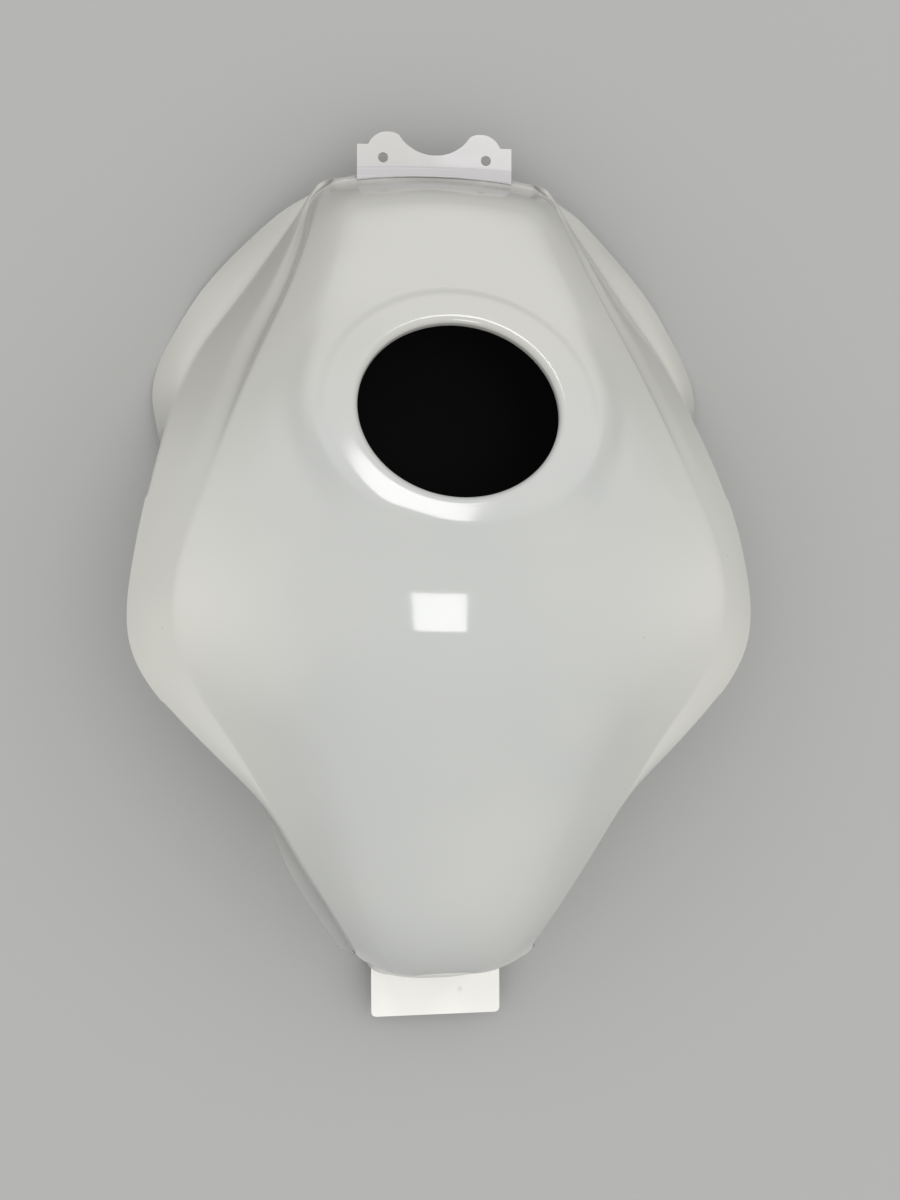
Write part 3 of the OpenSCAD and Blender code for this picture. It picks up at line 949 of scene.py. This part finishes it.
def shared_group(maker):
    """The shader group around a maker's nodes, which is built the first time it is asked for."""
    name = maker.__name__
    if name in bpy.data.node_groups:
        return bpy.data.node_groups[name]
    tree = bpy.data.node_groups.new(name, "ShaderNodeTree")
    for label, default in SHARED_GROUPS[maker].items():
        socket = tree.interface.new_socket(name=label, in_out="INPUT", socket_type="NodeSocketFloat")
        socket.default_value = default
    tree.interface.new_socket(name="Value", in_out="OUTPUT", socket_type="NodeSocketFloat")
    given = tree.nodes.new("NodeGroupInput").outputs
    result = tree.nodes.new("NodeGroupOutput").inputs["Value"]
    net = Net(tree)
    net.join(maker(net, given), result)
    return tree


def finish(material, tones, worn_tone, rub, scuff, skin):
    """Gives a material its tones, edge wear, scuffs and moulded skin."""
    net = Net(material.node_tree)
    shader = net.nodes["Principled BSDF"]
    worn = net.group(edge_wear, amount=rub)
    scuffed = net.group(fine_scuffs, amount=scuff)
    rubbed = net.math("MAXIMUM", worn, net.math("MULTIPLY", scuffed, 0.5))
    net.join(net.blend(rubbed, tones, worn_tone), shader.inputs["Base Color"])
    plain = shader.inputs["Roughness"].default_value
    cloud = net.noise(net.place(), SMEAR_SCALE)
    smears = net.ramp(cloud, *SMEARS, plain, SMEAR_ROUGHNESS * plain)
    roughened = net.math("MULTIPLY", rubbed, SCUFF_ROUGHNESS)
    net.join(net.math("ADD", smears, roughened), shader.inputs["Roughness"])
    bump = net.node("Bump")
    bump.inputs["Distance"].default_value = 1
    height = net.group(moulded_skin, **skin)
    cut = net.math("MULTIPLY", scuffed, -SCUFF_DEPTH)
    net.join(net.math("ADD", height, cut), bump.inputs["Height"])
    net.join(bump.outputs["Normal"], shader.inputs["Normal"])
    return material


def grime_on_shell(net, place, front):
    """Mask of painted shade: in grooves and hollows, on the knees' walls and on the front flanks."""
    grooves = net.group(recess_grime, **GROOVE_SHADE)
    hollows = net.group(recess_grime, **HOLLOW_SHADE)
    facing = net.axes(net.node("NewGeometry").outputs["Normal"])
    mask = net.math("MAXIMUM", grooves, hollows)
    at_knees = net.ramp(place["Y"], *KNEE_PLACE, 1, 0)
    for (low, high, share), where in ((KNEE_WALL_SHADE, at_knees), (FLANK_WALL_SHADE, front)):
        steep = net.ramp(facing["Z"], low, high, share, 0)
        walls = net.math("MULTIPLY", steep, where)
        mask = net.math("MAXIMUM", mask, walls)
    return mask


def gloss_plastic(settings):
    """Gloss white moulding: a cool crown, a creamy front, sides warmer in tone and lighter as painted
    light, painted shade in grooves, hollows and on steep walls, and a rippled gloss.
    """
    cool = tuple(settings.colour)
    material, net = new_material("gloss_white_plastic", cool, settings.roughness)
    place = net.axes(net.place())
    beside = net.math("ABSOLUTE", place["X"])
    # Painted light: the sides, which slope away from the sky, are made lighter as well as warmer.
    side = net.ramp(beside, *SIDE_PLACE, 0, SIDE_SHARE)
    warm_and_lit = net.math("ADD", side, net.group(tone_drift, scale=7, amount=0.15))
    front = net.ramp(place["Y"], *FRONT_PLACE)
    middle = net.blend(front, cool, settings.front_colour)
    tones = net.blend(warm_and_lit, middle, settings.warm_colour)
    specks = net.group(dust_specks, **SPECKS)
    speckled = net.blend(specks, tones, scaled(cool, SPECK_TONE))
    # Painted shade: grey laid into grooves, hollows and on steep walls.
    painted_shade = grime_on_shell(net, place, front)
    greyed = net.blend(painted_shade, speckled, PAINTED_SHADE_COLOUR)
    return finish(material, greyed, scaled(cool, 1.15), rub=0.35, scuff=0.35, skin=GLOSS_SKIN)


def inner_side(settings):
    """The inner side: near black, as painted shade that keeps the opening dark; matt and grainy."""
    dark = tuple(settings.inner_colour)
    material, net = new_material("unfinished_inner_side", dark, settings.inner_roughness)
    drift = net.group(tone_drift, scale=14, amount=1)
    tones = net.blend(drift, dark, scaled(dark, 1.7))
    return finish(material, tones, scaled(dark, 2.5), rub=0.5, scuff=0.6, skin=INNER_SKIN)


def bracket_plastic(settings):
    """Satin white sheet, a little lilac on the right, and greyer on its thinner foot."""
    white = tuple(settings.colour)
    material, net = new_material("satin_white_sheet", white, settings.roughness)
    place = net.axes(net.place())
    across = net.ramp(place["X"], *ACROSS_BRACKET)
    drift = net.group(tone_drift, scale=30, amount=0.4)
    share = net.math("SUBTRACT", across, drift)
    tones = net.blend(share, scaled(white, LEFT_TONE), settings.lilac_colour)
    bow = net.math("POWER", net.math("ABSOLUTE", place["X"]), 2)
    bowed = net.math("MULTIPLY", bow, FOOT_BOW / BRACKET_HALF**2 / MM)
    streaks = net.noise(net.place(), 40, 2, FOOT_STREAKS)
    wander = net.math("MULTIPLY", streaks, FOOT_WANDER)
    line = net.math("ADD", net.math("ADD", place["Y"], bowed), wander)
    foot = net.ramp(line, *(FOOT_TONE_AT + f for f in FOOT_TONE_FADE), 1, 0)
    greyed = net.blend(foot, tones, settings.foot_colour)
    return finish(material, greyed, scaled(white, 1.15), rub=0.5, scuff=0.8, skin=BRACKET_SKIN)


def tongue_plastic(settings):
    """Matt white sheet with scuffs, and a small grey smudge near its end."""
    white = tuple(settings.colour)
    material, net = new_material("matt_white_sheet", white, settings.roughness)
    drift = net.group(tone_drift, scale=24, amount=0.7)
    tones = net.blend(drift, white, scaled(white, 0.93))
    away = net.vector("DISTANCE", net.place(), SMUDGE)
    ragged = net.noise(net.place(), 300)
    reach = net.math("ADD", away, net.math("MULTIPLY", ragged, SMUDGE_EDGE))
    smudge = net.ramp(reach, *SMUDGE_FADE, SMUDGE_SHARE, 0)
    smudged = net.blend(smudge, tones, scaled(white, SMUDGE_TONE))
    return finish(material, smudged, scaled(white, 1.06), rub=0.7, scuff=1, skin=TONGUE_SKIN)


# ---------------------------------------------------------------- stage

# In metres. The floor gives way to the background's colour far out, and has a near-black patch of
# painted shade under the opening, where only the opening shows it.
SENSOR = 36
FLOOR_SIZE = 12
FLOOR_FADE = (1.2, 2.6)
FLOOR_ROUGHNESS = 0.8
FLOOR_GLOSS = 0.1
SHADE_PATCH_CENTRE = (0.02, 0.09, 0)
SHADE_PATCH_FADE = (0.1, 0.13)
# The sky rises from its strength at the horizon. The front reflects a brighter patch of it, given
# by its middle, how narrow it is on each axis, and its fade.
SKY_RISE = (0, 0.4)
SKY_AT_HORIZON = 0.65
SHEEN_CENTRE = (0.15, 0.863, 0.485)
SHEEN_NARROWNESS = (0.42, 1, 1)
SHEEN_FADE = (0.05, 0.58)
# Lamps, as (name, place, lean, size), and how bright the face of each one is.
LAMPS = (
    ("window", (0.3045, 2.37, 2.03), radians(-50), (0.327, 0.43)),
    ("ceiling", (0, -0.117, 2.4), 0, (0.59, 0.61)),
)
LAMP_RADIANCE = 9


def add_camera(context, settings):
    data = bpy.data.cameras.new("camera")
    data.sensor_fit = "VERTICAL"
    data.sensor_height = SENSOR
    data.lens = settings.lens
    camera = bpy.data.objects.new("camera", data)
    context.scene.collection.objects.link(camera)
    view = Vector((tan(settings.camera_lean), 0, -1)).normalized()
    right = view.cross(Vector((0, 1, 0))).normalized()
    up = right.cross(view)
    roll = settings.camera_roll
    turned_right = cos(roll) * right + sin(roll) * up
    turned_up = -sin(roll) * right + cos(roll) * up
    turn = Matrix((turned_right, turned_up, -view)).transposed().to_4x4()
    camera.matrix_world = Matrix.Translation(Vector(settings.camera_place)) @ turn
    context.scene.camera = camera


def add_floor(settings):
    """A pale floor, which is dark for the light that it sends up under the cover, with painted shade
    under the opening.
    """
    deselect_all()
    bpy.ops.mesh.primitive_plane_add(size=FLOOR_SIZE)
    floor = bpy.context.object
    floor.name = "floor"
    material, net = new_material("floor_paper", settings.floor_colour, FLOOR_ROUGHNESS)
    shader = net.nodes["Principled BSDF"]
    shader.inputs["Specular IOR Level"].default_value = FLOOR_GLOSS
    place = net.place()
    seen = net.node("LightPath").outputs

    def beyond(centre, fade):
        return net.ramp(net.vector("DISTANCE", place, centre), *fade)

    shown = net.math("MAXIMUM", seen["Is Camera Ray"], seen["Is Glossy Ray"])
    # Painted shade: a near-black patch of floor under the opening.
    off_shade_patch = beyond(SHADE_PATCH_CENTRE, SHADE_PATCH_FADE)
    pale = net.blend(off_shade_patch, settings.felt, settings.floor_colour)
    paper = net.blend(shown, settings.felt, pale)
    net.join(paper, shader.inputs["Base Color"])
    far = net.node("Emission")
    far.inputs["Color"].default_value = (*settings.background, 1)
    far_out = net.math("MULTIPLY", beyond((0, 0, 0), FLOOR_FADE), seen["Is Camera Ray"])
    mixed = net.shader(far_out, shader.outputs["BSDF"], far.outputs["Emission"])
    net.join(mixed, net.nodes["Material Output"].inputs["Surface"])
    floor.data.materials.append(material)


def add_lamps():
    """The two highlights on the gloss. The sky gives the light."""
    for name, place, lean, size in LAMPS:
        data = bpy.data.lights.new(name, "AREA")
        data.shape = "RECTANGLE"
        data.size, data.size_y = size
        data.energy = pi * LAMP_RADIANCE * size[0] * size[1]
        lamp = bpy.data.objects.new(name, data)
        bpy.context.scene.collection.objects.link(lamp)
        lamp.matrix_world = Matrix.Translation(place) @ Matrix.Rotation(lean, 4, "X")
        lamp.visible_diffuse = False


def set_world(context, settings):
    """An even sky, with the sheen's patch for the gloss and the plain background for the camera."""
    world = bpy.data.worlds.new("studio")
    world.use_nodes = True
    net = Net(world.node_tree)
    light = net.nodes["Background"]
    light.inputs["Color"].default_value = (1, 1, 1, 1)
    backdrop = net.node("Background")
    backdrop.inputs["Color"].default_value = (*settings.background, 1)
    seen = net.node("LightPath").outputs
    direction = net.node("TexCoord").outputs["Generated"]
    up = net.axes(direction)["Z"]
    sky = net.ramp(up, *SKY_RISE, SKY_AT_HORIZON * settings.sky, settings.sky)
    away = net.vector("SUBTRACT", direction, SHEEN_CENTRE)
    narrowed = net.vector("MULTIPLY", away, SHEEN_NARROWNESS)
    reach = net.vector("LENGTH", narrowed)
    sheen = net.ramp(reach, *SHEEN_FADE, settings.sheen, 0)
    in_gloss = net.math("MULTIPLY", sheen, seen["Is Glossy Ray"])
    net.join(net.math("ADD", sky, in_gloss), light.inputs["Strength"])
    outputs = light.outputs["Background"], backdrop.outputs["Background"]
    mixed = net.shader(seen["Is Camera Ray"], *outputs)
    net.join(mixed, net.nodes["World Output"].inputs["Surface"])
    context.scene.world = world
    context.scene.view_settings.view_transform = "Standard"


# ---------------------------------------------------------------- settings


def number(name, description, default, **more):
    return FloatProperty(name=name, description=description, default=default, **more)


def length(name, description, default):
    return number(name, description, default, unit="LENGTH", precision=4)


def colour(name, description, default):
    return FloatVectorProperty(
        name=name, description=description, default=default, subtype="COLOR", min=0, max=1
    )


class CoverShellSettings(bpy.types.PropertyGroup):
    wall: length("Wall", "Thickness of the moulded wall", 3 * MM)
    opening_diameter: length("Opening", "Diameter of the filler opening", 120 * MM)
    collar_diameter: length("Collar", "Diameter of the flat collar around the opening", 164 * MM)
    collar_rise: length("Collar rise", "Height of the collar above the surface", 1.15 * MM)
    lip_depth: length("Lip", "Depth of the turned-down lip", 6 * MM)
    edge_radius: length("Edge radius", "Rounding of the free edges", 0.7 * MM)
    inner_smoothing: IntProperty(
        name="Inner smoothing", description="Passes over the inner side", default=8
    )
    colour: colour("Colour", "Colour of the gloss plastic on the crown", (0.56, 0.57, 0.55))
    front_colour: colour("Front colour", "Creamier colour of the front", (0.557, 0.553, 0.52))
    # Lighter than the crown: a warmer tone, and painted light on the sides.
    warm_colour: colour("Warm colour", "Colour that the sides drift towards", (0.765, 0.755, 0.69))
    # The inner side's near black is painted shade.
    inner_colour: colour("Inner colour", "Colour of the unfinished inner side", (0.05, 0.05, 0.05))
    roughness: number("Roughness", "Roughness of the gloss", 0.07)
    inner_roughness: number("Inner roughness", "Roughness of the inner side", 0.55)


class FrontBracketSettings(bpy.types.PropertyGroup):
    cell: length("Cell", "Size of the cells that the sheet is modelled in", 0.5 * MM)
    colour: colour("Colour", "Colour of the bracket", (0.75, 0.735, 0.715))
    lilac_colour: colour("Right side", "Colour that its right side drifts towards", (0.78, 0.76, 0.77))
    foot_colour: colour("Foot", "Colour of the greyer foot", (0.61, 0.595, 0.61))
    roughness: number("Roughness", "Roughness of the bracket", 0.3)


class RearTongueSettings(bpy.types.PropertyGroup):
    cell: length("Cell", "Size of the cells that the sheet is modelled in", 0.5 * MM)
    colour: colour("Colour", "Colour of the tongue", (0.99, 0.97, 0.92))
    roughness: number("Roughness", "Roughness of the tongue", 0.5)


class CoverStageSettings(bpy.types.PropertyGroup):
    camera_place: FloatVectorProperty(
        name="Camera", description="Place of the camera", default=(-0.124765, -0.015, 1.005),
        subtype="TRANSLATION",
    )
    camera_lean: number(
        "Lean", "Lean of the view from straight down to the right", radians(7.84), subtype="ANGLE"
    )
    camera_roll: number("Roll", "Roll of the view on its own axis", radians(-0.302), subtype="ANGLE")
    lens: number("Lens", "Focal length in mm, on a sensor 36 mm tall", 44.312)
    floor_colour: colour("Floor", "Colour of the floor", (0.46, 0.46, 0.45))
    # Near-black colour of the painted shade under the opening, and of the floor for bounced light.
    felt: colour("Felt", "Colour of the dark felt under the opening", (0.012, 0.012, 0.012))
    background: colour("Background", "Colour behind the floor", (0.452, 0.452, 0.442))
    sky: number("Sky", "Strength of the even light from all around", 1.03)
    sheen: number("Sheen", "Strength of the sheen that the gloss reflects", 1.3)


# ---------------------------------------------------------------- operators


class COVER_OT_shell(bpy.types.Operator):
    """Model the moulded shell with its filler opening"""

    bl_idname = "cover.shell"
    bl_label = "Cover shell"

    def execute(self, context):
        obj = model_shell(context.scene.cover_shell)
        name_piece(obj, "shell_moulding", "shell_plastic", "cover_shell")
        return {"FINISHED"}


class COVER_OT_bracket(bpy.types.Operator):
    """Model the bracket that is bonded on the front rim"""

    bl_idname = "cover.bracket"
    bl_label = "Front bracket"

    def execute(self, context):
        obj = model_bracket(context.scene.cover_bracket)
        name_piece(obj, "bracket_sheet", "bracket_plastic", "front_bracket")
        return {"FINISHED"}


class COVER_OT_tongue(bpy.types.Operator):
    """Model the tongue that is bonded under the rear wall"""

    bl_idname = "cover.tongue"
    bl_label = "Rear tongue"

    def execute(self, context):
        obj = model_tongue(context.scene.cover_tongue)
        name_piece(obj, "tongue_sheet", "tongue_plastic", "rear_tongue")
        return {"FINISHED"}


class COVER_OT_stage(bpy.types.Operator):
    """Set up the camera, the floor and the soft light"""

    bl_idname = "cover.stage"
    bl_label = "Stage"

    def execute(self, context):
        settings = context.scene.cover_stage
        add_camera(context, settings)
        add_floor(settings)
        add_lamps()
        set_world(context, settings)
        return {"FINISHED"}


class COVER_PT_panel(bpy.types.Panel):
    """Lists the pieces of the cover and the stage"""

    bl_idname = "COVER_PT_panel"
    bl_label = "Fuel tank cover"
    bl_space_type = "VIEW_3D"
    bl_region_type = "UI"
    bl_category = "Tank Cover"

    def draw(self, context):
        for group, operator in SETTINGS_OF.values():
            box = self.layout.box()
            box.operator(operator)
            settings = getattr(context.scene, group)
            for name in type(settings).__annotations__:
                box.prop(settings, name)


# Each piece's settings, with the name that the scene holds them under and its operator.
SETTINGS_OF = {
    CoverShellSettings: ("cover_shell", "cover.shell"),
    FrontBracketSettings: ("cover_bracket", "cover.bracket"),
    RearTongueSettings: ("cover_tongue", "cover.tongue"),
    CoverStageSettings: ("cover_stage", "cover.stage"),
}
CLASSES = (
    *SETTINGS_OF, COVER_OT_shell, COVER_OT_bracket, COVER_OT_tongue, COVER_OT_stage, COVER_PT_panel,
)


def register():
    for item in CLASSES:
        bpy.utils.register_class(item)
    for settings, (group, _) in SETTINGS_OF.items():
        setattr(bpy.types.Scene, group, PointerProperty(type=settings))


def unregister():
    for group, _ in SETTINGS_OF.values():
        delattr(bpy.types.Scene, group)
    for item in reversed(CLASSES):
        bpy.utils.unregister_class(item)


def main():
    register()
    bpy.ops.cover.stage()
    bpy.ops.cover.shell()
    bpy.ops.cover.bracket()
    bpy.ops.cover.tongue()


if __name__ == "__main__":
    main()
